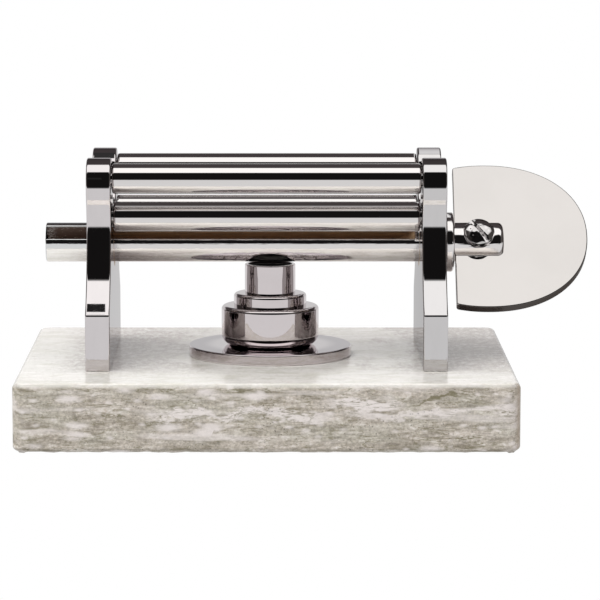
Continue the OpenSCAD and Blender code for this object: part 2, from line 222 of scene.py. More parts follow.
class Graph(Nodes):
    """One material's nodes. All patterns read Object coordinates, in millimetres."""

    def __init__(self, name: str, metallic: float = 0.0, specular: float = 0.5, tint: Colour = WHITE) -> None:
        """Starts a material.

        Args:
            name: the material's name.
            metallic: 1 for bare metal, 0 for everything else.
            specular: the shader's specular level.
            tint: the colour of what it mirrors at a glancing angle.
        """
        self.material = bpy.data.materials.new(name)
        self.material.use_nodes = True
        super().__init__(self.material.node_tree)
        self.shader = self.tree.nodes["Principled BSDF"]
        self.fill(self.shader, {"Metallic": metallic, "Specular IOR Level": specular, "Specular Tint": tint})

    def place(self, turn: float = 0.0, centre: Triple = (0.0, 0.0, 0.0), stretch: Triple = (1.0, 1.0, 1.0)) -> Socket:
        """Object coordinates in millimetres, moved to a centre, turned about X and stretched.

        Args:
            turn: degrees about X that the pattern's own axes are turned by.
            centre: the pattern's origin, in millimetres.
            stretch: pattern units per millimetre along each of its own axes.

        Returns:
            The vector socket of the placed coordinates.
        """
        return self.fill(self.new("Mapping", vector_type="TEXTURE"), {
            "Vector": self.new("TexCoord").outputs["Object"], "Location": [c * MM for c in centre],
            "Rotation": (math.radians(turn), 0.0, 0.0), "Scale": [MM / s for s in stretch]})

    def axes(self, turn: float = 0.0, centre: Triple = (0.0, 0.0, 0.0)) -> tuple[Socket, ...]:
        """The X, Y and Z of placed coordinates."""
        return self.split(self.place(turn, centre))

    def cloud(self, grain: Grain, turn: float = 0.0, at: Optional[Socket] = None) -> Socket:
        """Noise between 0 and 1.

        Args:
            grain: its scale and fineness.
            turn: degrees about X that it is turned by.
            at: the coordinates it reads, where they aren't the grain's own.

        Returns:
            The noise's value socket.
        """
        where = self.place(turn, grain.centre, grain.stretch) if at is None else at
        return self.fill(self.new("TexNoise"), {"Vector": where, "Scale": grain.scale, "Detail": grain.detail,
                                                "Roughness": grain.roughness, "Distortion": grain.distortion}, "Fac")

    def cells(self, scale: float = 1.0, randomness: float = 1.0, stretch: Triple = (1.0, 1.0, 1.0)) -> Socket:
        """Distance to the nearest of scattered points, from their count per unit, their scatter and their stretch."""
        return self.fill(self.new("TexVoronoi"), {"Vector": self.place(stretch=stretch), "Scale": scale,
                                                  "Randomness": randomness}, "Distance")

    def blobs(self, where: Socket, size: Point, share: float, ragged: float = 0.12, uneven: float = 0.16) -> Socket:
        """Scattered soft spots: some of the cells of a pattern hold one, in uneven sizes.

        Args:
            where: the coordinates it reads.
            size: where a spot starts to fade and where it ends, as a distance from its middle.
            share: how many of the cells hold a spot, from 0 to 1.
            ragged: how far its edge wanders.
            uneven: how much smaller the smallest spots are.

        Returns:
            The mask's socket, 1 inside a spot.
        """
        node = self.new("TexVoronoi")
        distance = self.fill(node, {"Vector": where, "Scale": 1.0}, "Distance")
        lots = self.split(node.outputs["Color"])
        wander = self.cloud(Grain(detail=3.0, roughness=0.6, scale=3.5), at=where)
        edge = self.sum("MULTIPLY_ADD", wander, ragged * 2.0, -ragged)
        reach = self.plus(self.plus(distance, edge), self.times(lots[1], uneven))
        return self.times(self.fall(reach, *size), self.span(lots[0], 1.0 - share, 1.03 - share))

    def finish(self, colour: Tone, roughness: Value, height: Socket, depth: float,
               strength: float = 1.0) -> bpy.types.Material:
        """Fills the shader's main sockets.

        Args:
            colour: the base colour.
            roughness: the roughness.
            height: the bump's height socket, 0 to 1.
            depth: the bump's full range, in millimetres.
            strength: how much of the bump shows.

        Returns:
            The material.
        """
        bump = self.fill(self.new("Bump"), {"Strength": strength, "Distance": depth * MM, "Height": height})
        self.fill(self.shader, {"Base Color": colour, "Roughness": roughness, "Normal": bump})
        return self.material


def shaded(colour: Colour, share: float) -> Colour:
    """A colour made darker or lighter by a share, up to white."""
    return tuple(min(1.0, c * share) for c in colour)


@dataclass(frozen=True)
class Chrome:
    """Polished chrome plate, with the wipe marks, haze and slight waviness that plating has.

    Faces within `inner` of the middle plane get a darker tone of their own: painted shade and reflection on the
    plates' inner faces. So does the optional flat ring, given as its height, the place of its middle and its inner
    radius: painted shade on the cap's flange round its body.
    """

    name: str
    colour: Colour
    wipes: Grain = Grain((0.02, 0.35, 0.35), 6.0, 0.6)
    edge_tint: Colour = WHITE
    inner: float = 0.0
    # the ring of painted shade on the cap's flange: its height, the place of its middle and its inner radius
    shaded_ring: Optional[Triple] = None
    roughness: Point = (0.022, 0.052)
    lumps: Grain = Grain(detail=2.0, scale=0.16)
    wave: float = 0.0012
    # painted shade and reflection: the darker tone of the plates' inner faces
    inner_shade: Colour = (0.42, 0.39, 0.39)
    # painted shade: the darker tone of the flange's ring round the cap body
    dull: Colour = (0.47, 0.43, 0.455)
    inner_fade: Point = (0.03, 0.15)
    ring_fade: float = 3.5

    def make(self) -> bpy.types.Material:
        """Builds the material.

        Returns:
            The material.
        """
        graph = Graph(self.name, metallic=1.0, tint=self.edge_tint)
        wiped = graph.cloud(self.wipes)
        tone = graph.blend(graph.span(wiped, 0.35, 0.75), self.colour, shaded(self.colour, 0.97))
        # painted shade and reflection: faces on the middle plane's side get a darker tone
        if self.inner:
            inside = graph.fall(graph.off(graph.axes()[0]), *(self.inner + past for past in self.inner_fade))
            tone = graph.blend(inside, tone, self.inner_shade)
        # painted shade: a darker flat ring on the cap's flange round its body
        if self.shaded_ring:
            level, middle, radius = self.shaded_ring
            across, deep, height = graph.axes(centre=(middle, 0.0, 0.0))
            flat = graph.window(height, (level - 0.1, level), (level + 0.3, level + 0.5))
            outer = graph.span(graph.reach(across, deep), radius, radius + self.ring_fade)
            tone = graph.blend(graph.times(flat, outer), tone, self.dull)
        return graph.finish(tone, graph.span(wiped, *UPPER, *self.roughness), graph.cloud(self.lumps), self.wave)


@dataclass(frozen=True)
class Marble:
    """Layered marble: olive and beige streaks, pale soft lenses and seams, thin veins and specks.

    It is polished on top and honed at its sides. A seam and the crack run from start to end along X, from one
    height to another: (start, end, low, high, half width, weight).
    """

    name: str = "layered_marble"
    dip: float = 38.0
    top: float = SLAB_TOP
    body: tuple[Colour, ...] = ((0.265, 0.236, 0.190), (0.455, 0.415, 0.362), (0.690, 0.642, 0.592))
    cool: Colour = (0.50, 0.50, 0.43)
    lens: Colour = (0.83, 0.785, 0.775)
    olive: Colour = (0.17, 0.155, 0.085)
    speck: Colour = (0.10, 0.09, 0.075)
    polished: Colour = (0.90, 0.895, 0.88)
    rosy: Colour = (0.64, 0.595, 0.58)
    # painted shade: the darker grains beside the plates, where their shadows fall
    shade_umber: Colour = (0.42, 0.37, 0.36)
    mossy: Colour = (0.70, 0.695, 0.62)
    # the brown of the painted shade on the front right corner
    darker_tone: Colour = (0.36, 0.29, 0.21)
    streaks: Grain = Grain((0.11, 0.26, 0.62), 7.0, 0.66, 1.3)
    patches: Grain = Grain((0.05, 0.12, 0.2), 3.0, centre=(31.0, 5.0, 0.0))
    long_grain: Grain = Grain((0.55, 1.2, 2.0), 5.0, 0.7, 0.4)
    round_grain: Grain = Grain((1.5, 1.7, 1.7), 4.0, 0.8, centre=(3.0, 1.0, 0.0))
    greys: tuple[tuple[float, Colour], ...] = (
        (0.30, (0.20, 0.20, 0.19)), (0.50, (0.5, 0.5, 0.5)), (0.70, (0.84, 0.84, 0.84)))
    dots: Triple = (1.1, 1.4, 1.4)
    veins: tuple[tuple[Grain, float], ...] = (
        (Grain((0.070, 0.26, 0.62), 6.0, 0.60, 1.0, (13.0, 4.0, 2.0), 1.2), 0.024),
        (Grain((0.13, 0.40, 0.95), 6.0, 0.60, 1.0, (5.0, 9.0, 7.0), 1.2), 0.020))
    bands: Grain = Grain((0.030, 0.20, 0.42), 3.0, 0.5, centre=(-9.0, 2.0, 4.0))
    lenses: tuple[tuple[Triple, Triple, Point, float, float], ...] = (
        ((7.0, 1.0, 3.0), (0.115, 0.28, 0.40), (0.16, 0.48), 0.40, 0.78),
        ((2.0, 6.0, 1.0), (0.34, 0.62, 0.80), (0.12, 0.48), 0.50, 0.62))
    seams: tuple[tuple[float, ...], ...] = (
        (-26.0, 16.0, 8.0, 8.4, 1.10, 0.75), (12.0, 54.0, 8.6, 8.9, 1.00, 0.62), (9.0, 30.0, 10.5, 11.2, 1.15, 0.85))
    crack: tuple[float, ...] = (25.0, 43.0, 10.4, 13.0, 0.62, 0.85)
    taper: float = 7.0
    wander: Point = (-1.3, 1.3)
    # where the painted shade on the front right corner lies, across and deep, and how strong it is
    corner_shade_span: tuple[Point, Point] = ((49.3, 50.2), (-38.6, -36.4))
    corner_shade_share: float = 0.6
    gloss: Point = (0.36, 0.13)
    seam_drift: Grain = Grain((0.13, 0.05, 0.25), 5.0, 0.6, centre=(1.0, 8.0, 0.0))
    seam_edge: Grain = Grain((0.30, 0.20, 0.60), 4.0, 0.55, centre=(6.0, 2.0, 0.0))
    top_streaks: Grain = Grain((0.075, 0.14, 0.20), 8.0, 0.68, 1.6)
    top_grain: Grain = Grain((0.80, 0.36, 1.1), 5.0, 0.80, centre=(4.0, 0.0, 0.0))
    top_drift: Grain = Grain((0.09, 0.05, 0.09), 4.0, 0.65, centre=(0.0, 11.0, 0.0))
    # where the painted shade beside the plates lies: its wandering edge, its middle, how far from the middle, how far
    # back and how far right of the left end
    top_wander: float = 9.0
    top_middle: float = 3.0
    shade_sides: Point = (17.0, 27.0)
    shade_front: Point = (-32.0, -14.0)
    shade_left: Point = (-45.0, -37.0)
    top_back: Point = (-20.0, 34.0)
    body_share: float = 0.20
    # painted shade: how dark the band along the top's eased upper edge is
    edge_shade: float = 0.30
    pits: Grain = Grain(detail=6.0, roughness=0.7, scale=2.0)

    def streaked(self, graph: Graph) -> Socket:
        """The body colour: streaks along the layers, broken by grain, with cooler patches.

        Args:
            graph: the material's nodes.

        Returns:
            The colour socket.
        """
        colour = graph.ramp(graph.cloud(self.streaks, self.dip), tuple(zip((0.33, 0.50, 0.67), self.body)))
        cooler = graph.span(graph.cloud(self.patches, self.dip), 0.46, 0.64, 0.0, 0.30)
        colour = graph.blend(cooler, colour, self.cool)
        for grain, turn, share in ((self.long_grain, self.dip, 0.30), (self.round_grain, 0.0, 0.60)):
            colour = graph.blend(share, colour, graph.ramp(graph.cloud(grain, turn), self.greys), "OVERLAY")
        return colour

    def seamed(self, graph: Graph, colour: Socket) -> Socket:
        """Lays the long pale seams and the dark crack over the body colour.

        Args:
            graph: the material's nodes.
            colour: the colour so far.

        Returns:
            The new colour socket.
        """
        across, _, height = graph.axes()
        level = graph.plus(height, graph.span(graph.cloud(self.seam_drift), 0.25, 0.75, *self.wander))
        ragged = graph.cloud(self.seam_edge)
        tones = [self.lens] * len(self.seams) + [self.olive]
        for (start, end, low, high, half, weight), tone in zip((*self.seams, self.crack), tones):
            off = graph.off(level, graph.span(across, start, end, low, high))
            off = graph.plus(off, graph.span(ragged, *MIDDLE, -0.5 * half, 0.5 * half))
            ends = graph.window(across, (start, start + self.taper), (end - self.taper, end))
            colour = graph.blend(graph.times(graph.fall(off, 0.35 * half, half, weight), ends), colour, tone)
        return colour

    def marked(self, graph: Graph, colour: Socket) -> Socket:
        """Lays specks, veins, pale bands and pale lenses over the body colour.

        Args:
            graph: the material's nodes.
            colour: the colour so far.

        Returns:
            The new colour socket.
        """
        scatter = graph.span(graph.cloud(Grain(scale=0.16)), 0.46, 0.60)
        specks = graph.fall(graph.cells(stretch=self.dots), 0.10, 0.24, 0.75)
        colour = graph.blend(graph.times(specks, scatter), colour, self.speck)
        for grain, width in self.veins:
            vein = graph.fall(graph.off(graph.cloud(grain, self.dip), 0.5), 0.0, width, 0.80)
            broken = graph.span(graph.cloud(Grain(detail=3.0, centre=grain.centre, scale=0.2)), 0.40, 0.56)
            colour = graph.blend(graph.times(vein, broken), colour, self.olive)
        colour = graph.blend(graph.span(graph.cloud(self.bands, self.dip), 0.55, 0.68, 0.0, 0.48), colour, self.lens)
        for centre, stretch, size, share, weight in self.lenses:
            spots = graph.blobs(graph.place(self.dip, centre, stretch), size, share)
            colour = graph.blend(graph.times(spots, weight), colour, self.lens)
        return colour

    def capped(self, graph: Graph, colour: Socket) -> Socket:
        """Lays the polished top's pale, long-streaked colour over the body's, fading over the upper edge. It paints
        shade beside the plates, where their shadows fall, as darker grains, and along the upper edge as a darker band;
        the top also grows pinker and darker towards the back.

        Args:
            graph: the material's nodes.
            colour: the colour so far.

        Returns:
            The new colour socket.
        """
        across, deep, height = graph.axes()
        fine = graph.cloud(self.top_grain)
        drift = graph.span(graph.cloud(self.top_drift), *MIDDLE, -self.top_wander, self.top_wander)
        # painted shade: darker grains beside the plates, where their shadows fall, and fewer in the middle
        sides = graph.span(graph.plus(graph.off(across, self.top_middle), drift), *self.shade_sides, 0.08, 1.0)
        inland = graph.times(graph.span(deep, *self.shade_front), graph.span(across, *self.shade_left))
        shade_patch = graph.times(sides, inland)
        pale = graph.coats(self.polished,
                           (graph.span(graph.cloud(self.top_streaks), 0.46, 0.62, 0.0, 0.62), self.mossy),
                           (graph.span(deep, *self.top_back, 0.0, 0.20), self.rosy),
                           (graph.times(shade_patch, graph.span(fine, 0.36, 0.62, 0.10, 0.95)), self.shade_umber),
                           (graph.span(fine, 0.48, 0.70, 0.0, 0.60), self.rosy), (self.body_share, colour),
                           # painted shade along the eased upper edge
                           (graph.fall(height, self.top - 0.30, self.top - 0.02, self.edge_shade), BLACK))
        return graph.blend(graph.span(height, self.top - 1.1, self.top - 0.25, 0.0, 0.95), colour, pale)

    def shade_corner(self, graph: Graph, colour: Socket) -> Socket:
        """Browns the front right corner: painted shade where that rounded corner faces away from the light.

        Args:
            graph: the material's nodes.
            colour: the colour so far.

        Returns:
            The new colour socket.
        """
        across, deep, _ = graph.axes()
        corner = graph.times(graph.span(across, *self.corner_shade_span[0]), graph.fall(deep, *self.corner_shade_span[1]))
        return graph.blend(graph.times(corner, self.corner_shade_share), colour, self.darker_tone)

    def make(self) -> bpy.types.Material:
        """Builds the material.

        Returns:
            The material.
        """
        graph = Graph(self.name, specular=0.32)
        colour = self.marked(graph, self.seamed(graph, self.streaked(graph)))
        # the top's coats, then the painted shade on the front right corner
        colour = self.shade_corner(graph, self.capped(graph, colour))
        rough = graph.span(graph.axes()[2], self.top - 0.9, self.top - 0.15, *self.gloss)
        return graph.finish(colour, rough, graph.cloud(self.pits), 0.06, 0.4)


@dataclass(frozen=True)
class SlottedSteel:
    """Chromed bar whose milled slot was left bare: bright outside, dull, brown and speckled inside the slot, with
    painted highlights at its open end.
    """

    name: str
    colour: Colour
    axis_z: float
    turn: float
    radius: float
    slot_left: float
    slot_right: float
    inside: Colour = (0.25, 0.18, 0.155)
    bay: Colour = (0.52, 0.34, 0.20)
    dark: Colour = (0.16, 0.11, 0.08)
    speck: Colour = (0.85, 0.78, 0.70)
    # painted highlight: the pale colour near the slot's open end
    tip_highlight: Colour = (0.95, 0.91, 0.89)
    clean: Colour = (0.775, 0.79, 0.80)
    streaks: Grain = Grain((0.06, 1.6, 1.6), 5.0, 0.7)
    tip_highlights: Grain = Grain((1.3, 1.9, 1.9), 3.0, 0.6)
    wipes: Grain = Grain((0.02, 0.35, 0.35), 6.0, 0.6)
    milling: Grain = Grain((0.25, 5.0, 5.0), 3.0)
    dust: Triple = (1.1, 2.0, 2.0)
    roughness: Point = (0.022, 0.05)
    rougher: float = 0.42
    rust: float = 0.8
    skin: Point = (0.62, 0.46)
    slot_end: Point = (0.05, 0.12)
    tip: Point = (1.0, 2.4)
    bay_from: Point = (-38.0, -30.0)
    dusty_from: Point = (-45.0, -20.0)
    clean_to: Point = (-38.0, -36.6)

    def make(self) -> bpy.types.Material:
        """Builds the material.

        Returns:
            The material.
        """
        graph = Graph(self.name, metallic=1.0)
        along, across, up = graph.axes(self.turn, (0.0, 0.0, self.axis_z))
        deep = graph.fall(graph.reach(across, up), *(self.radius - under for under in self.skin))
        start = tuple(self.slot_left + past for past in self.slot_end)
        run = graph.window(along, start, (self.slot_right, self.slot_right + 0.1))
        slot = graph.times(deep, run)
        streaky = graph.span(graph.cloud(self.streaks, self.turn), 0.35, 0.7, 0.0, 0.6)
        dust = graph.fall(graph.cells(stretch=self.dust), 0.12, 0.24, 0.8)
        # painted highlights: pale spots near the slot's open end, where its chamfers catch the light
        tip_highlights = graph.span(graph.cloud(self.tip_highlights), 0.44, 0.54, 0.0, 0.95)
        tip = graph.fall(along, *(self.slot_left + past for past in self.tip))
        brown = graph.coats(self.inside, (graph.span(along, *self.bay_from), self.bay), (streaky, self.dark),
                            (graph.times(dust, graph.span(along, *self.dusty_from, 1.0, 0.25)), self.speck),
                            (graph.times(tip_highlights, tip), self.tip_highlight))
        plated = graph.blend(graph.fall(along, *self.clean_to, 0.75), self.colour, self.clean)
        wiped = graph.span(graph.cloud(self.wipes), *UPPER, *self.roughness)
        rough = graph.plus(graph.times(slot, self.rougher), wiped)
        graph.fill(graph.shader, {"Metallic": graph.sum("SUBTRACT", 1.0, graph.times(slot, self.rust))})
        milled = graph.cloud(self.milling, self.turn)
        return graph.finish(graph.blend(slot, plated, brown), rough, milled, 0.010)


@dataclass(frozen=True)
class PolishedKey:
    """Flat-polished key face with a rougher rim round its curve, coloured dark as a painted reflection, in the
    winder's own turned frame.
    """

    name: str
    face: Colour
    # painted reflection: the dark colour of the eased rim round the curve
    rim: Colour
    axis_z: float
    turn: float
    half_thickness: float
    cut_x: float
    edge_tint: Colour = (0.45, 0.43, 0.42)
    wipes: Grain = Grain((0.05, 0.05, 0.05), 5.0, 0.6)
    lines: Grain = Grain((0.12, 0.12, 6.0), 3.0)
    roughness: Point = (0.04, 0.07)
    rougher: float = 0.20
    hairline: Point = (0.022, 0.006)
    cut_fade: Point = (0.25, 0.65)

    def make(self) -> bpy.types.Material:
        """Builds the material.

        Returns:
            The material.
        """
        graph = Graph(self.name, metallic=1.0, tint=self.edge_tint)
        along, _, through = graph.axes(self.turn, (0.0, 0.0, self.axis_z))
        # painted reflection: the eased rim round the curve is coloured dark
        on_painted_rim = graph.fall(graph.off(through), *(self.half_thickness - under for under in self.hairline))
        on_painted_rim = graph.times(on_painted_rim, graph.span(along, *(self.cut_x + past for past in self.cut_fade)))
        wiped = graph.cloud(self.wipes)
        face = graph.blend(graph.span(wiped, 0.35, 0.7), self.face, shaded(self.face, 0.965))
        rough = graph.plus(graph.times(on_painted_rim, self.rougher), graph.span(wiped, *UPPER, *self.roughness))
        lines = graph.cloud(self.lines, self.turn)
        return graph.finish(graph.blend(on_painted_rim, face, self.rim), rough, lines, 0.004)


@dataclass(frozen=True)
class HammeredScrew:
    """Bright screw head with the shallow facets that turning and plating leave, so that it glitters."""

    name: str
    colour: Colour
    facet: float = 0.9
    depth: float = 0.16

    def make(self) -> bpy.types.Material:
        """Builds the material.

        Returns:
            The material.
        """
        graph = Graph(self.name, metallic=1.0)
        facets = graph.cells(self.facet, 0.9)
        tone = graph.blend(graph.span(facets, 0.1, 0.7), self.colour, shaded(self.colour, 0.82))
        return graph.finish(tone, graph.span(facets, 0.2, 0.8, 0.05, 0.09), facets, self.depth, 0.8)


@dataclass(frozen=True)
class Moulded:
    """Moulded plastic, rubber or foam: even colour, fine grain and soft unevenness."""

    name: str
    colour: Colour
    roughness: float = 0.45
    grain: float = 3.0
    depth: float = 0.03

    def make(self) -> bpy.types.Material:
        """Builds the material.

        Returns:
            The material.
        """
        graph = Graph(self.name, specular=0.45)
        grains = graph.cloud(Grain(roughness=0.6, scale=self.grain))
        broad = graph.span(graph.cloud(Grain(detail=2.0, scale=0.12)), *MIDDLE)
        rough = graph.span(grains, *MIDDLE, self.roughness - 0.06, self.roughness + 0.08)
        return graph.finish(graph.blend(broad, self.colour, shaded(self.colour, 1.25)), rough, grains, self.depth)


@dataclass(frozen=True)
class DullMetal:
    """Sintered bronze or zinc-plated steel: cloudy colour, open grain and a dull shine."""

    name: str
    colour: Colour
    darker_tone: Colour
    roughness: float = 0.38

    def make(self) -> bpy.types.Material:
        """Builds the material.

        Returns:
            The material.
        """
        graph = Graph(self.name, metallic=1.0)
        clouds = graph.cloud(Grain(detail=5.0, roughness=0.65, scale=0.5))
        tone = graph.blend(graph.span(clouds, 0.42, 0.68), self.colour, self.darker_tone)
        rough = graph.span(clouds, *MIDDLE, self.roughness - 0.08, self.roughness + 0.1)
        return graph.finish(tone, rough, graph.cells(5.0), 0.02, 0.6)


# ---- workshop ----


@dataclass(frozen=True)
class Corner:
    """A corner of a profile: its distance from the axis, its place along the axis and its rounding, in millimetres."""

    across: float
    along: float
    radius: float = 0.0


def only(kind: type, geometry: Iterable) -> list:
    """The parts of an operator's result that are of one kind."""
    return [part for part in geometry if isinstance(part, kind)]


def rise(edge: Edge) -> float:
    """The difference in height between an edge's ends."""
    return abs(edge.verts[0].co.z - edge.verts[1].co.z)


def oval(share: float, fullness: float) -> float:
    """A circle's cosine or sine turned into that of a fuller oval, with its sign kept."""
    return math.copysign(abs(share) ** (2.0 / fullness), share)


def linked(name: str, data: bpy.types.ID) -> bpy.types.Object:
    """A new object, linked to the scene."""
    bpy.context.collection.objects.link(made := bpy.data.objects.new(name, data))
    return made


class Workpiece:
    """A mesh being made in millimetres, one bmesh operator at a time."""

    def __init__(self, name: str) -> None:
        """Starts an empty mesh, under the finished object's name."""
        self.name = name
        self.bm = bmesh.new()

    @property
    def geometry(self) -> list:
        """Every vertex, edge and face."""
        return self.bm.verts[:] + self.bm.edges[:] + self.bm.faces[:]

    def scaled(self, *by: float) -> None:
        """Stretches the whole mesh about the origin, along X, Y and Z."""
        bmesh.ops.scale(self.bm, vec=by, verts=self.bm.verts[:])

    def shifted(self, *by: float) -> None:
        """Moves the whole mesh along X, Y and Z."""
        bmesh.ops.translate(self.bm, vec=by, verts=self.bm.verts[:])

    def moved(self, matrix: Matrix) -> "Workpiece":
        """Transforms the whole mesh."""
        bmesh.ops.transform(self.bm, matrix=matrix, verts=self.bm.verts[:])
        return self

    def pen_arc(self, start: Vert, centre: Point, degrees: float, steps: int) -> Vert:
        """Spins a vertex into a run of edges, on the plane of the depth and the height.

        Args:
            start: the vertex the arc leaves.
            centre: the arc's middle, as (depth, height).
            degrees: how far it turns, from the depth's axis towards the height's.
            steps: how many edges it has.

        Returns:
            The arc's last vertex.
        """
        spun = bmesh.ops.spin(self.bm, geom=[start], cent=(0.0, *centre), axis=ALONG,
                              angle=math.radians(degrees), steps=steps, use_merge=False)
        return only(Vert, spun["geom_last"])[0]

    def pen_line(self, start: Vert, end: Point) -> Vert:
        """Draws an edge from a vertex to a new one at (depth, height), and returns the new one."""
        self.bm.edges.new((start, vert := self.bm.verts.new((0.0, *end))))
        return vert

    def turned(self, corners: Sequence[Corner], steps: int, closed: bool = False) -> "Workpiece":
        """Spins a profile about the Z axis, with its corners rounded first.

        Args:
            corners: the profile, in order.
            steps: how many steps a full turn has.
            closed: whether the last corner joins the first.

        Returns:
            This workpiece.
        """
        verts = [self.bm.verts.new((c.across, 0.0, c.along)) for c in corners]
        for pair in list(zip(verts, verts[1:])) + ([(verts[-1], verts[0])] if closed else []):
            self.bm.edges.new(pair)
        for index, (vert, corner) in enumerate(zip(verts, corners)):
            if corner.radius > 0.0:
                beside = corners[index - 1], corners[(index + 1) % len(corners)]
                one, two = (Vector((c.across - corner.across, c.along - corner.along)) for c in beside)
                cut = corner.radius / math.tan(one.angle(two) / 2.0)
                self.rounded([vert], cut * NEARLY, ROUND_STEPS)
        bmesh.ops.spin(self.bm, geom=self.geometry, cent=(0.0, 0.0, 0.0), axis=UP, angle=2.0 * math.pi, steps=steps,
                       use_merge=True)
        return self.tidied()

    def tidied(self, gap: float = FLAT) -> "Workpiece":
        """Merges doubled vertices, drops faces with no area and turns every face outwards.

        Args:
            gap: how near doubled vertices lie.

        Returns:
            This workpiece.
        """
        bmesh.ops.remove_doubles(self.bm, verts=self.bm.verts[:], dist=gap)
        bmesh.ops.dissolve_degenerate(self.bm, dist=gap, edges=self.bm.edges[:])
        bmesh.ops.recalc_face_normals(self.bm, faces=self.bm.faces[:])
        return self

    def thickened(self, by: Vector) -> None:
        """Fills the drawn outline and extrudes it.

        Args:
            by: how far and which way.
        """
        face = bmesh.ops.contextual_create(self.bm, geom=self.bm.edges[:])["faces"]
        grown = bmesh.ops.extrude_face_region(self.bm, geom=face)["geom"]
        bmesh.ops.translate(self.bm, vec=by, verts=only(Vert, grown))
        bmesh.ops.recalc_face_normals(self.bm, faces=self.bm.faces[:])

    def rounded(self, verts: Sequence[Vert], cut: float, steps: int) -> None:
        """Rounds corners of an outline, each side losing the cut."""
        bmesh.ops.bevel(self.bm, geom=list(verts), offset=cut, offset_type="OFFSET", segments=steps, profile=0.5,
                        affect="VERTICES", material=-1)

    def eased(self, edges: Sequence[Edge], radius: float, steps: int, clamp: bool = True) -> "Workpiece":
        """Rounds edges.

        Args:
            edges: the edges to round.
            radius: the distance that each side loses.
            steps: how many steps the rounding has.
            clamp: whether a rounding stops where it would meet the next.

        Returns:
            This workpiece.
        """
        bmesh.ops.bevel(self.bm, geom=list(edges), offset=radius, offset_type="OFFSET", segments=steps, profile=0.5,
                        affect="EDGES", material=-1, clamp_overlap=clamp)
        return self

    def sharp_edges(self, degrees: float) -> list[Edge]:
        """The edges at which two faces meet at more than the given angle."""
        return [e for e in self.bm.edges if len(e.link_faces) == 2 and e.calc_face_angle(0.0) > math.radians(degrees)]

    def cut(self, at: Vector, normal: Vector, clear: bool = False) -> list[Edge]:
        """Cuts the mesh along a plane, clears what lies beyond it if asked, and returns the cut's edges."""
        cut = bmesh.ops.bisect_plane(self.bm, geom=self.geometry, plane_co=at, plane_no=normal, clear_outer=clear)
        return only(Edge, cut["geom_cut"])

    def bored(self, along: Vector, level: float, holes: Sequence[tuple[Vector, float]]) -> list[list[Edge]]:
        """Opens holes in the flat face at one level: the face is taken off and filled again round the holes.

        Args:
            along: the face's normal direction, positive or negative.
            level: the face's distance along that direction.
            holes: (centre, radius) of each hole.

        Returns:
            The edges of each hole's rim.
        """
        flat = [f for f in self.bm.faces if f.normal.dot(along) > PARALLEL
                and abs(f.calc_center_median().dot(along) - level) < FLAT]
        edges = list({e for f in flat for e in f.edges if any(g not in flat for g in e.link_faces)})
        bmesh.ops.delete(self.bm, geom=flat, context="FACES_ONLY")
        stand = along.to_track_quat("Z", "Y").to_matrix().to_4x4()
        rings: list[list[Edge]] = []
        for centre, radius in holes:
            middle = Matrix.Translation(centre + along * (level - centre.dot(along)))
            made = bmesh.ops.create_circle(self.bm, cap_ends=False, segments=HOLE_STEPS, radius=radius,
                                           matrix=middle @ stand)
            rings.append(list({e for v in made["verts"] for e in v.link_edges}))
            edges += rings[-1]
        bmesh.ops.triangle_fill(self.bm, use_beauty=True, normal=along, edges=edges)
        return rings

    def sunk(self, ring: Sequence[Edge], by: Vector) -> None:
        """Extrudes a hole's rim into a blind bore and closes its bottom.

        Args:
            ring: the rim's edges.
            by: the bore's depth and direction.
        """
        grown = bmesh.ops.extrude_edge_only(self.bm, edges=list(ring))["geom"]
        bmesh.ops.translate(self.bm, vec=by, verts=only(Vert, grown))
        bmesh.ops.contextual_create(self.bm, geom=only(Edge, grown))

    def mesh(self) -> bpy.types.Mesh:
        """Turns the workpiece into a mesh, and frees it.

        Returns:
            The mesh.
        """
        mesh = bpy.data.meshes.new(self.name)
        self.bm.to_mesh(mesh)
        self.bm.free()
        return mesh

    def done(self, material: bpy.types.Material, body: str, slot: str, stands_for: Sequence[str],
             ease: Ease = Ease.MIRROR) -> None:
        """Turns the mesh into a finished piece in the scene.

        Args:
            material: its finish.
            body: the CAD body it rides on.
            slot: the record's material slot; not used.
            stands_for: the CAD nodes it replaces.
            ease: how its eased edges are shaded.
        """
        bmesh.ops.recalc_face_normals(self.bm, faces=self.bm.faces[:])
        self.scaled(MM, MM, MM)
        for face in self.bm.faces:
            face.smooth = True
        for edge in self.sharp_edges(SHADED):
            edge.smooth = False
        mesh = self.mesh()
        mesh.materials.append(material)
        piece = linked(self.name, mesh)
        shading = piece.modifiers.new("clean_flats", "WEIGHTED_NORMAL")
        shading.mode = "FACE_AREA"
        shading.weight = ease.value
        shading.keep_sharp = True
        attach(piece, body)
        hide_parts(*stands_for)
        LOG.info("%s: %d faces, on %s", self.name, len(mesh.polygons), body)


def refinish(names: Iterable[str], material: bpy.types.Material) -> None:
    """Gives carried-over CAD nodes a material.

    Args:
        names: the nodes' names.
        material: their finish.
    """
    for name in names:
        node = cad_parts[name]
        for index in range(len(node.data.materials)):
            node.data.materials[index] = material
        LOG.info("%s: finished in %s", name, material.name)


# ---- sub-assemblies ----


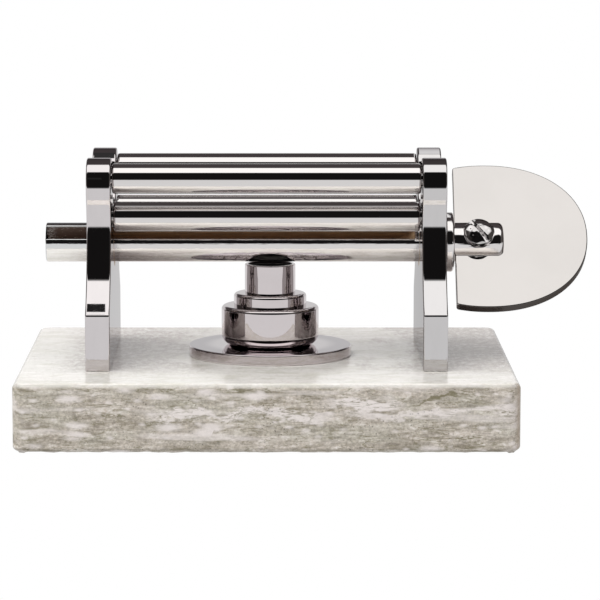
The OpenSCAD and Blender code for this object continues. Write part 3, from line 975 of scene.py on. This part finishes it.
@dataclass
class Slab:
    """The marble slab, its non-slip sheet and the screws and washers under it."""

    width: float = 101.2
    depth: float = 80.6
    bottom: float = 0.5
    top: float = SLAB_TOP
    corner: float = 2.6
    corner_steps: int = 8
    ease: float = 1.2
    ease_steps: int = 5
    cut_pitch: float = 1.3
    cut_margin: float = 0.5
    chip: float = 0.34
    chip_in: float = 0.6
    broad_lumps: Point = (0.55, 0.5)
    fine_lumps: Point = (1.9, 0.35)

    def block(self) -> Workpiece:
        """The slab's block, with eased edges and small chips along its lower edge.

        Returns:
            The piece's mesh in its place.
        """
        work = Workpiece("marble_slab")
        bmesh.ops.create_cube(work.bm, size=1.0)
        work.scaled(self.width, self.depth, self.top - self.bottom)
        work.shifted(0.0, 0.0, (self.top + self.bottom) / 2.0)
        work.eased([e for e in work.bm.edges if rise(e) > UPRIGHT], self.corner, self.corner_steps)
        work.eased([e for e in work.sharp_edges(SQUARE) if rise(e) < FLAT], self.ease, self.ease_steps)
        for across, half in ((ALONG, self.width / 2.0), (Vector((0.0, 1.0, 0.0)), self.depth / 2.0)):
            place = -half + self.corner + self.cut_margin
            while place < half - self.corner:
                work.cut(across * place, across)
                place += self.cut_pitch
        for vert in work.bm.verts:
            self.chipped(vert)
        return work

    def chipped(self, vert: Vert) -> None:
        """Draws a vertex of the lower edge up and in by an uneven amount.

        Args:
            vert: any vertex of the slab.
        """
        low = 1.0 - min(1.0, max(0.0, (vert.co.z - self.bottom) / self.ease))
        edge = max(abs(vert.co.x) - self.width / 2.0, abs(vert.co.y) - self.depth / 2.0) > -self.ease - FLAT
        if low <= 0.0 or not edge:
            return
        broad, fine = (share * noise.noise(vert.co * scale) for scale, share in (self.broad_lumps, self.fine_lumps))
        amount = self.chip * low * min(1.0, max(0.0, 0.5 + broad + fine))
        inward = Vector((-vert.co.x, -vert.co.y, 0.0)).normalized()
        vert.co += inward * amount * self.chip_in + UP * amount

    def build(self) -> None:
        """Makes the slab and finishes what is under it."""
        self.block().done(Marble().make(), "frame", "marble", ["marble_base"], Ease.SOFT)
        refinish(["non_slip_sheet"], Moulded("milky_silicone", (0.78, 0.78, 0.76), 0.6, 1.6, 0.06).make())
        refinish(["left_plate_screws", "right_plate_screws", "left_screw_washers", "right_screw_washers"],
                 DullMetal("zinc_plate", (0.55, 0.56, 0.58), (0.42, 0.42, 0.41), 0.34).make())


@dataclass
class PlatePair:
    """The two chromed side plates with their horns, waists and feet."""

    inner: float = 31.85
    thickness: float = 5.0
    foot: Point = (23.75, 11.5)
    waist: Point = (15.5, 29.1)
    horn: Point = (12.1, 36.5)
    horn_r: float = 5.3
    horn_rise: float = 5.96
    horn_fullness: float = 2.3
    notch_depth: float = 5.95
    flare_steps: int = 34
    throat_steps: int = 16
    horn_steps: int = 84
    notch_steps: int = 64
    edge: float = 0.36
    edge_steps: int = 4
    edge_angle: float = 30.0
    shaft_z: float = 23.7
    shaft_bore_r: float = 5.04
    roller_bore_r: float = 2.23
    roller_bore_l: float = 2.7
    lanes: tuple[Point, ...] = ((-12.1, 38.2), (12.1, 38.2), (-7.1, 29.85), (7.1, 29.85))
    wipes: Grain = Grain((0.35, 0.12, 0.12), 6.0, 0.6)

    def outline(self, work: Workpiece) -> None:
        """Draws the plate's outline: foot, flare, throat, horn and notch, then the same to the back.

        Args:
            work: the mesh it is drawn in.
        """
        foot_y, foot_z = self.foot
        waist_y, waist_z = self.waist
        horn_y, horn_z = self.horn
        inward, up = foot_y - waist_y, waist_z - foot_z
        flare_r = (inward ** 2 + up ** 2) / (2.0 * inward)
        flare = math.degrees(math.asin(up / flare_r))
        out, up = waist_y - horn_y, horn_z - waist_z
        throat_r = (out ** 2 + up ** 2 - self.horn_r ** 2) / (2.0 * (self.horn_r - out))
        throat = math.degrees(math.atan2(up, waist_y + throat_r - horn_y))
        notch_r = horn_y - self.horn_r
        arcs = (((waist_y + flare_r, waist_z), flare, self.flare_steps),
                ((waist_y + throat_r, waist_z), throat, self.throat_steps),
                ((horn_y, horn_z), -180.0 - throat, self.horn_steps))
        front = work.bm.verts.new((0.0, -foot_y, 0.0))
        vert = work.pen_line(front, (-foot_y, foot_z))
        for (middle_y, middle_z), degrees, steps in arcs:
            vert = work.pen_arc(vert, (-middle_y, middle_z), degrees, steps)
        vert = work.pen_arc(vert, (0.0, horn_z), 180.0, self.notch_steps)
        for middle, degrees, steps in reversed(arcs):
            vert = work.pen_arc(vert, middle, degrees, steps)
        work.bm.edges.new((work.pen_line(vert, (foot_y, 0.0)), front))
        for vert in work.bm.verts:
            if vert.co.z > horn_z:
                self.fuller(vert)
            elif abs(vert.co.y) < notch_r and vert.co.z > horn_z - notch_r - FLAT:
                vert.co.z = horn_z + (vert.co.z - horn_z) * self.notch_depth / notch_r

    def fuller(self, vert: Vert) -> None:
        """Draws a vertex of a horn's round top out to a fuller and taller oval.

        Args:
            vert: the vertex.
        """
        middle = math.copysign(self.horn[0], vert.co.y)
        across, up = (vert.co.y - middle) / self.horn_r, (vert.co.z - self.horn[1]) / self.horn_r
        vert.co.y = middle + self.horn_r * oval(across, self.horn_fullness)
        vert.co.z = self.horn[1] + self.horn_rise * oval(up, self.horn_fullness)

    def plate(self, side: Side) -> Workpiece:
        """One plate, with eased edges, the shaft's bore and four blind bores.

        Args:
            side: which plate.

        Returns:
            The plate's mesh in its place.
        """
        work = Workpiece(f"{side.name.lower()}_plate")
        self.outline(work)
        work.thickened(ALONG * self.thickness)
        work.eased(work.sharp_edges(self.edge_angle), self.edge, self.edge_steps).tidied(JOINED)
        shaft = (UP * self.shaft_z, self.shaft_bore_r)
        rollers = [(Vector((0.0, y, z)), self.roller_bore_r) for y, z in self.lanes]
        inner_rings = work.bored(-ALONG, 0.0, [shaft] + rollers)
        outer_rings = work.bored(ALONG, self.thickness, [shaft])
        bmesh.ops.bridge_loops(work.bm, edges=inner_rings[0] + outer_rings[0])
        for ring in inner_rings[1:]:
            work.sunk(ring, ALONG * self.roller_bore_l)
        if side is Side.LEFT:
            work.moved(Matrix.Scale(-1.0, 4, ALONG))
        work.shifted(side.value * self.inner, 0.0, SLAB_TOP)
        return work.tidied()

    def build(self) -> None:
        """Makes both plates and finishes the bushes in them."""
        # both plates are the same chrome: the left copy's lighter tone and edge tint are painted light, the right
        # copy's darker ones painted shade
        for side, tone, edge_tint in ((Side.LEFT, (0.73, 0.695, 0.705), (0.62, 0.60, 0.61)),
                                      (Side.RIGHT, (0.68, 0.665, 0.67), (0.34, 0.32, 0.33))):
            word = side.name.lower()
            finish = Chrome(f"{word}_plate_chrome", tone, self.wipes, edge_tint, self.inner).make()
            self.plate(side).done(finish, "frame", "plate_chrome", [f"{word}_side_plate"])
        refinish([f"{lane}_{side}_bush" for lane in RollerSet.lanes for side in ("left", "right")],
                 Moulded("black_acetal", (0.035, 0.035, 0.038), 0.32, 4.0, 0.01).make())
        refinish(["left_shaft_bush", "right_shaft_bush"],
                 DullMetal("oiled_bronze", (0.42, 0.27, 0.13), (0.20, 0.12, 0.06)).make())


@dataclass
class RollerSet:
    """The four chromed rollers."""

    lanes: tuple[str, ...] = ("front_top", "back_top", "front_lower", "back_lower")

    def build(self) -> None:
        """Finishes the four rollers."""
        refinish([f"{lane}_roller" for lane in self.lanes], Chrome("roller_chrome", BRIGHT).make())


@dataclass
class Winder:
    """The slotted winding shaft with its washer, its key and the key's screw."""

    axis_z: float = SLAB_TOP + 23.7
    turn: float = 51.0
    shaft_r: float = 4.1
    shaft_left: float = -46.1
    shaft_edge: float = 0.25
    shaft_edge_steps: int = 3
    shaft_steps: int = 132
    slot_half: float = 1.45
    slot_floor: float = -1.9
    slot_right: float = 31.0
    runout_left: float = 23.254
    runout_r: float = 8.0
    runout_steps: int = 12
    joint_x: float = 36.75
    overlap: float = 0.01
    lip: float = 0.42
    lip_degrees: float = 8.0
    lip_steps: int = 5
    milled_edge: float = 0.14
    screw_edge: float = 0.10
    broken_steps: int = 2
    broken_angle: float = 38.0
    flat_angle: float = 0.2
    node_gap: float = 2e-4
    key_edge: float = 39.3
    key_a: float = 21.1
    key_b: float = 17.6
    key_steps: int = 208
    key_fullness: float = 2.16
    key_lift: float = 1.0
    key_cut: float = 6.7
    key_t: float = 2.2
    key_corner: float = 0.45
    key_corner_steps: int = 8
    key_corner_angle: float = 40.0
    key_rim: float = 0.40
    key_rim_steps: int = 4
    screw_x: float = 44.2
    screw_hole_r: float = 1.6

    @property
    def stand(self) -> Matrix:
        """The winder's own frame: X along the shaft and Z out of the slot's mouth."""
        return Matrix.Translation((0.0, 0.0, self.axis_z)) @ Matrix.Rotation(math.radians(self.turn), 4, "X")

    def from_node(self, name: str, node: str, lip: float) -> Workpiece:
        """A copy of a CAD node in its place, with its sharp edges broken.

        Args:
            name: the piece's name.
            node: the CAD node's name.
            lip: how wide the broken edges are.

        Returns:
            The piece's mesh.
        """
        work = Workpiece(name)
        work.bm.from_mesh(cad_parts[node].data)
        work.moved(Matrix.Scale(1.0 / MM, 4)).tidied(self.node_gap)
        bmesh.ops.dissolve_limit(work.bm, angle_limit=math.radians(self.flat_angle), verts=work.bm.verts[:],
                                 edges=work.bm.edges[:])
        return work.eased(work.sharp_edges(self.broken_angle), lip, self.broken_steps)

    def bar(self) -> Workpiece:
        """The slotted bar up to the flange: one section with rounded lips, extruded and closed in a curved run-out.

        Returns:
            The piece's mesh in its place.
        """
        work = Workpiece("slotted_bar")
        mouth = math.sqrt(self.shaft_r ** 2 - self.slot_half ** 2)
        half = math.degrees(math.asin(self.slot_half / self.shaft_r))
        first = work.bm.verts.new((0.0, -self.slot_half, self.slot_floor))
        vert = work.pen_line(first, (-self.slot_half, mouth))
        lips = [vert]
        round_back = 360.0 - 2.0 * half - 2.0 * self.lip_degrees
        for degrees, steps in ((self.lip_degrees, 1), (round_back, self.shaft_steps), (self.lip_degrees, 1)):
            vert = work.pen_arc(vert, (0.0, 0.0), degrees, steps)
        lips.append(vert)
        for share in (1.0, 0.67, 0.33, 0.0, -0.33, -0.67):
            vert = work.pen_line(vert, (self.slot_half * share, self.slot_floor))
        work.bm.edges.new((vert, first))
        work.rounded(lips, self.lip, self.lip_steps)
        work.shifted(self.shaft_left, 0.0, 0.0)
        work.thickened(ALONG * (self.runout_left - self.shaft_left))
        end = [e for e in work.sharp_edges(SQUARE) if max(v.co.x for v in e.verts) < self.shaft_left + FLAT]
        work.eased(end, self.shaft_edge, self.shaft_edge_steps, clamp=False)
        place = self.runout_left
        for step in range(1, self.runout_steps + 1):
            reach = (self.slot_right - self.runout_left) * math.sin(math.pi / 2.0 * step / self.runout_steps)
            floor = self.slot_floor + self.runout_r - math.sqrt(self.runout_r ** 2 - reach ** 2)
            self.carried_on(work, self.runout_left + reach - place, floor, step == self.runout_steps)
            place = self.runout_left + reach
        self.carried_on(work, self.joint_x - place, self.slot_floor, False)
        return work.tidied(JOINED).moved(self.stand)

    def carried_on(self, work: Workpiece, by: float, floor: float, closed: bool) -> None:
        """Extrudes the bar's right end further and raises its slot's floor.

        Args:
            work: the bar.
            by: how far the end moves.
            floor: the floor's new height in the winder's frame.
            closed: whether the slot closes into the full round here.
        """
        end = max(work.bm.faces, key=lambda f: f.calc_center_median().x)
        verts = only(Vert, bmesh.ops.extrude_face_region(work.bm, geom=[end])["geom"])
        bmesh.ops.delete(work.bm, geom=[end], context="FACES_ONLY")
        bmesh.ops.translate(work.bm, vec=ALONG * by, verts=verts)
        for vert in verts:
            inside = math.hypot(vert.co.y, vert.co.z) < self.shaft_r - JOINED
            if inside and closed:
                vert.co.z = math.sqrt(self.shaft_r ** 2 - vert.co.y ** 2)
            elif inside and vert.co.z < floor:
                vert.co.z = floor

    def stub(self) -> Workpiece:
        """The flange and the forked stub that holds the key: the right end of the node's own shape.

        Returns:
            The piece's mesh in its place.
        """
        work = self.from_node("flanged_stub", "winding_shaft", self.milled_edge)
        bmesh.ops.contextual_create(work.bm, geom=work.cut(ALONG * (self.joint_x - self.overlap), -ALONG, True))
        return work

    def key(self) -> Workpiece:
        """The key: a full oval cut off straight, with eased rims and the screw's hole.

        Returns:
            The piece's mesh in its place.
        """
        work = Workpiece("winding_key")
        bmesh.ops.create_circle(work.bm, cap_ends=False, segments=self.key_steps, radius=1.0)
        for vert in work.bm.verts:
            vert.co.x = self.key_a * oval(vert.co.x, self.key_fullness)
            vert.co.y = self.key_b * oval(vert.co.y, self.key_fullness)
        work.cut(ALONG * -self.key_cut, -ALONG, True)
        work.bm.edges.new([v for v in work.bm.verts if len(v.link_edges) == 1])
        half = self.key_t / 2.0
        work.shifted(self.key_edge + self.key_cut, self.key_lift, -half)
        work.thickened(UP * self.key_t)
        corners = [e for e in work.sharp_edges(self.key_corner_angle) if rise(e) > UPRIGHT]
        work.eased(corners, self.key_corner, self.key_corner_steps)
        work.eased(work.sharp_edges(SQUARE), self.key_rim, self.key_rim_steps).tidied(JOINED)
        hole = (ALONG * self.screw_x, self.screw_hole_r)
        rings = work.bored(UP, half, [hole]) + work.bored(-UP, half, [hole])
        bmesh.ops.bridge_loops(work.bm, edges=rings[0] + rings[1])
        return work.tidied().moved(self.stand)

    def build(self) -> None:
        """Makes the shaft, the key and the screw, and finishes the washer."""
        bar = SlottedSteel("slotted_chrome", BRIGHT, self.axis_z, self.turn, self.shaft_r, self.shaft_left,
                           self.slot_right).make()
        for part in (self.bar(), self.stub()):
            part.done(bar, "winder", "shaft_chrome", ["winding_shaft"])
        # the key's dark rim colour is a painted reflection
        polish = PolishedKey("key_polish", (0.645, 0.62, 0.605), (0.10, 0.09, 0.085), self.axis_z, self.turn,
                             self.key_t / 2.0, self.key_edge).make()
        self.key().done(polish, "winder", "key_steel", ["key_plate"])
        screw = self.from_node("slotted_screw", "key_screw", self.screw_edge)
        screw.done(HammeredScrew("screw_chrome", (0.75, 0.73, 0.73)).make(), "winder", "screw_chrome", ["key_screw"])
        refinish(["thrust_washer"], Moulded("washer_acetal", (0.03, 0.03, 0.032), 0.35, 4.0, 0.01).make())


@dataclass
class TubeCap:
    """The stepped and flanged cap, its threaded insert and its liner."""

    place: float = 0.7
    flange: Point = (17.05, 2.2)
    body: Point = (10.2, 10.5)
    body_foot_r: float = 2.2
    step: Point = (7.6, 13.1)
    neck: Point = (5.3, 19.2)
    bore_r: float = 4.6
    floor: float = 8.2
    shell_steps: int = 192
    sleeve_steps: int = 96
    thread_r: float = 4.0
    root_r: float = 4.32
    thread_floor: float = 9.2
    thread_top: float = 18.7
    thread_turns: float = 6.6
    thread_steps: int = 64
    pitch: float = 1.25
    crest: Point = (0.38, 0.55)
    ridge: float = 0.93
    bite: float = 0.1
    # inner radius of the painted shade on the flange
    shaded_ring_r: float = 11.0

    @property
    def stand(self) -> Matrix:
        """The cap's place on the slab."""
        return Matrix.Translation((self.place, 0.0, SLAB_TOP))

    def shell(self) -> Workpiece:
        """The chromed shell, turned from one profile.

        Returns:
            The piece's mesh in its place.
        """
        flange_r, flange_z = self.flange
        body_r, body_z = self.body
        step_r, step_z = self.step
        neck_r, neck_z = self.neck
        profile = (Corner(0.0, 0.0), Corner(flange_r, 0.0, 0.25), Corner(flange_r, flange_z, 0.32),
                   Corner(body_r - self.body_foot_r, flange_z), Corner(body_r, flange_z, self.body_foot_r),
                   Corner(body_r, body_z, 0.85), Corner(step_r, body_z), Corner(step_r, step_z, 0.7),
                   Corner(neck_r, step_z), Corner(neck_r, neck_z, 0.22), Corner(self.bore_r, neck_z, 0.12),
                   Corner(self.bore_r, self.floor), Corner(0.0, self.floor))
        return Workpiece("stepped_cap").turned(profile, self.shell_steps).moved(self.stand)

    def insert(self) -> Workpiece:
        """The plastic sleeve, with a real thread wound up its inside.

        Returns:
            The piece's mesh in its place.
        """
        work = Workpiece("threaded_sleeve")
        work.turned((Corner(self.bore_r, self.thread_floor), Corner(self.bore_r, self.thread_top, 0.1),
                     Corner(self.root_r, self.thread_top, 0.1), Corner(self.root_r, self.thread_floor)),
                    self.sleeve_steps, True)
        root = self.root_r + self.bite
        start = self.thread_floor + self.bite
        ridge = [work.bm.verts.new((radius, 0.0, start + height)) for radius, height in
                 ((root, 0.0), (self.thread_r, self.crest[0]), (self.thread_r, self.crest[1]), (root, self.ridge))]
        edges = [work.bm.edges.new(pair) for pair in zip(ridge, ridge[1:] + ridge[:1])]
        ends = bmesh.ops.contextual_create(work.bm, geom=edges)["faces"]
        bmesh.ops.spin(work.bm, geom=ridge + edges + ends, cent=(0.0, 0.0, 0.0), axis=UP,
                       dvec=UP * (self.pitch / self.thread_steps), angle=2.0 * math.pi * self.thread_turns,
                       steps=int(self.thread_turns * self.thread_steps), use_merge=False)
        return work.tidied().moved(self.stand)

    def build(self) -> None:
        """Makes the shell and the sleeve, and finishes the liner."""
        # the flange's darker ring round the body is painted shade
        chrome = Chrome("cap_chrome", (0.745, 0.69, 0.70), Grain((0.25, 0.25, 0.25), 6.0, 0.6),
                        shaded_ring=(SLAB_TOP + self.flange[1], self.place, self.shaded_ring_r)).make()
        self.shell().done(chrome, "cap", "cap_chrome", ["cap_shell"])
        plastic = Moulded("dark_polypropylene", (0.03, 0.03, 0.03), 0.4, 2.0, 0.02).make()
        self.insert().done(plastic, "cap", "insert_plastic", ["cap_thread_insert"], Ease.SOFT)
        refinish(["cap_liner"], Moulded("white_foam", (0.80, 0.80, 0.76), 0.75, 2.6, 0.08).make())


# ---- studio ----


@dataclass
class Studio:
    """A pale floor, the soft surround that the chrome mirrors, two soft lamps and the camera.

    A lamp is its name, place, size, power and colour. A flag is a card's left, right, front and back limits and
    its height, in metres, and its brightness.
    """

    lens: float = 194.4
    sensor: float = 36.0
    shift: float = 0.0438
    clip: Point = (0.01, 10.0)
    eye: Triple = (0.00145, -0.6742, 0.1171)
    tilt: float = 82.3
    pale: Colour = (0.66, 0.66, 0.66)
    dark: Colour = (0.0085, 0.008, 0.008)
    bright: Colour = (1.24, 1.23, 1.21)
    dusk: Colour = (0.064, 0.055, 0.056)
    ground: Colour = (0.85, 0.85, 0.85)
    haze: Colour = (0.60, 0.55, 0.54)
    wing: Colour = (0.085, 0.077, 0.072)
    wings: Point = (0.62, 0.80)
    paper: float = 0.79
    aim: Triple = (0.0, 0.0, 0.02)
    floor: tuple[float, ...] = (-1.2, 1.2, -0.6, 1.2, 0.0)
    lamps: tuple[tuple[str, Triple, Point, float, Colour], ...] = (
        ("key_lamp", (-0.38, -0.22, 0.66), (1.2, 0.14), 6.2, (0.97, 1.0, 0.97)),
        ("top_fill", (0.0, -0.15, 0.9), (0.9, 0.9), 2.4, (1.0, 0.97, 0.96)))
    flags: tuple[tuple[tuple[float, ...], float], ...] = (
        ((-0.0394, -0.0341, -0.0279, -0.0243, 0.057), 0.02), ((-0.040, -0.0325, 0.003, 0.0125, 0.067), 0.04),
        ((0.0325, 0.040, 0.010, 0.100, 0.067), 0.95))

    @property
    def stops(self) -> list[tuple[float, Colour]]:
        """The ring of panels, from the degrees about the shaft.

        Returns:
            The ramp's stops, as (place, colour).
        """
        stops = ((-180.0, self.pale), (-174.0, self.pale), (-165.0, self.ground), (-5.0, self.ground),
                 (-3.6, self.dark), (50.4, self.dark), (51.6, self.bright), (93.0, self.bright),
                 (96.0, self.dusk), (157.0, self.dusk), (163.0, self.pale), (180.0, self.pale))
        return [((degrees + 180.0) / 360.0, colour) for degrees, colour in stops]

    def surround(self) -> None:
        """The world: white to the camera, and to the pieces a ring of soft panels about the shaft's direction."""
        world = bpy.data.worlds.new("soft_surround")
        bpy.context.scene.world = world
        world.use_nodes = True
        world.node_tree.nodes.clear()
        graph = Nodes(world.node_tree)
        across, deep, height = graph.split(graph.new("TexCoord").outputs["Generated"])
        turn = graph.sum("ARCTAN2", height, graph.times(deep, -1.0))
        panels = graph.ramp(graph.sum("MULTIPLY_ADD", turn, 1.0 / (2.0 * math.pi), 0.5), self.stops)
        rays = graph.new("LightPath").outputs
        seen = graph.coats(panels, (graph.span(graph.off(across), *self.wings), self.wing),
                           (rays["Is Diffuse Ray"], self.haze), (rays["Is Camera Ray"], WHITE))
        light = graph.fill(graph.new("Background"), {"Color": seen})
        graph.tree.links.new(light, graph.new("OutputWorld").inputs[0])

    def card(self, name: str, spread: Sequence[float], glow: float, seen: float) -> bpy.types.Object:
        """A flat card of the studio that gives off an even light and mirrors nothing.

        Args:
            name: its object's name.
            spread: its left, right, front and back limits and its height, in metres.
            glow: how bright the pieces see it.
            seen: how bright the camera sees it.

        Returns:
            The card's object.
        """
        left, right, front, back, height = spread
        work = Workpiece(name)
        bmesh.ops.create_grid(work.bm, x_segments=1, y_segments=1, size=0.5)
        work.scaled(right - left, back - front, 1.0)
        work.shifted((left + right) / 2.0, (front + back) / 2.0, height)
        paper = Graph(name, specular=0.0)
        level = paper.span(paper.new("LightPath").outputs["Is Camera Ray"], 0.0, 1.0, glow, seen)
        paper.fill(paper.shader, {"Base Color": BLACK, "Emission Color": WHITE, "Emission Strength": level})
        card = linked(name, work.mesh())
        card.data.materials.append(paper.material)
        return card

    def light(self) -> None:
        """The soft lamps. The chrome mirrors only the surround."""
        for name, place, size, power, colour in self.lamps:
            data = bpy.data.lights.new(name, "AREA")
            data.shape = "RECTANGLE"
            data.size, data.size_y = size
            data.energy = power
            data.color = colour
            lamp = linked(name, data)
            lamp.location = place
            lamp.rotation_euler = (Vector(self.aim) - Vector(place)).to_track_quat("-Z", "Y").to_euler()
            lamp.visible_glossy = False

    def camera(self) -> None:
        """The camera, a long lens a little above the shaft."""
        data = bpy.data.cameras.new("front_camera")
        data.lens = self.lens
        data.sensor_width = self.sensor
        data.shift_x = self.shift
        data.clip_start, data.clip_end = self.clip
        camera = linked("front_camera", data)
        camera.location = self.eye
        camera.rotation_euler = (math.radians(self.tilt), 0.0, 0.0)
        bpy.context.scene.camera = camera

    def build(self) -> None:
        """Sets up the whole studio."""
        self.camera()
        self.surround()
        self.card("pale_floor", self.floor, self.paper, 1.0)
        for spread, glow in self.flags:
            flag = self.card("flag", spread, glow, glow)
            flag.visible_camera = flag.visible_diffuse = flag.visible_shadow = False
        self.light()
        bpy.context.scene.view_settings.view_transform = "Standard"
        LOG.info("studio: ready")


def main() -> None:
    """Builds the studio and every sub-assembly, in order."""
    logging.basicConfig(level=logging.INFO, format="%(name)s: %(message)s")
    for part in (Studio(), Slab(), PlatePair(), RollerSet(), Winder(), TubeCap()):
        LOG.info("building %s", type(part).__name__)
        part.build()


if __name__ == "__main__":
    main()
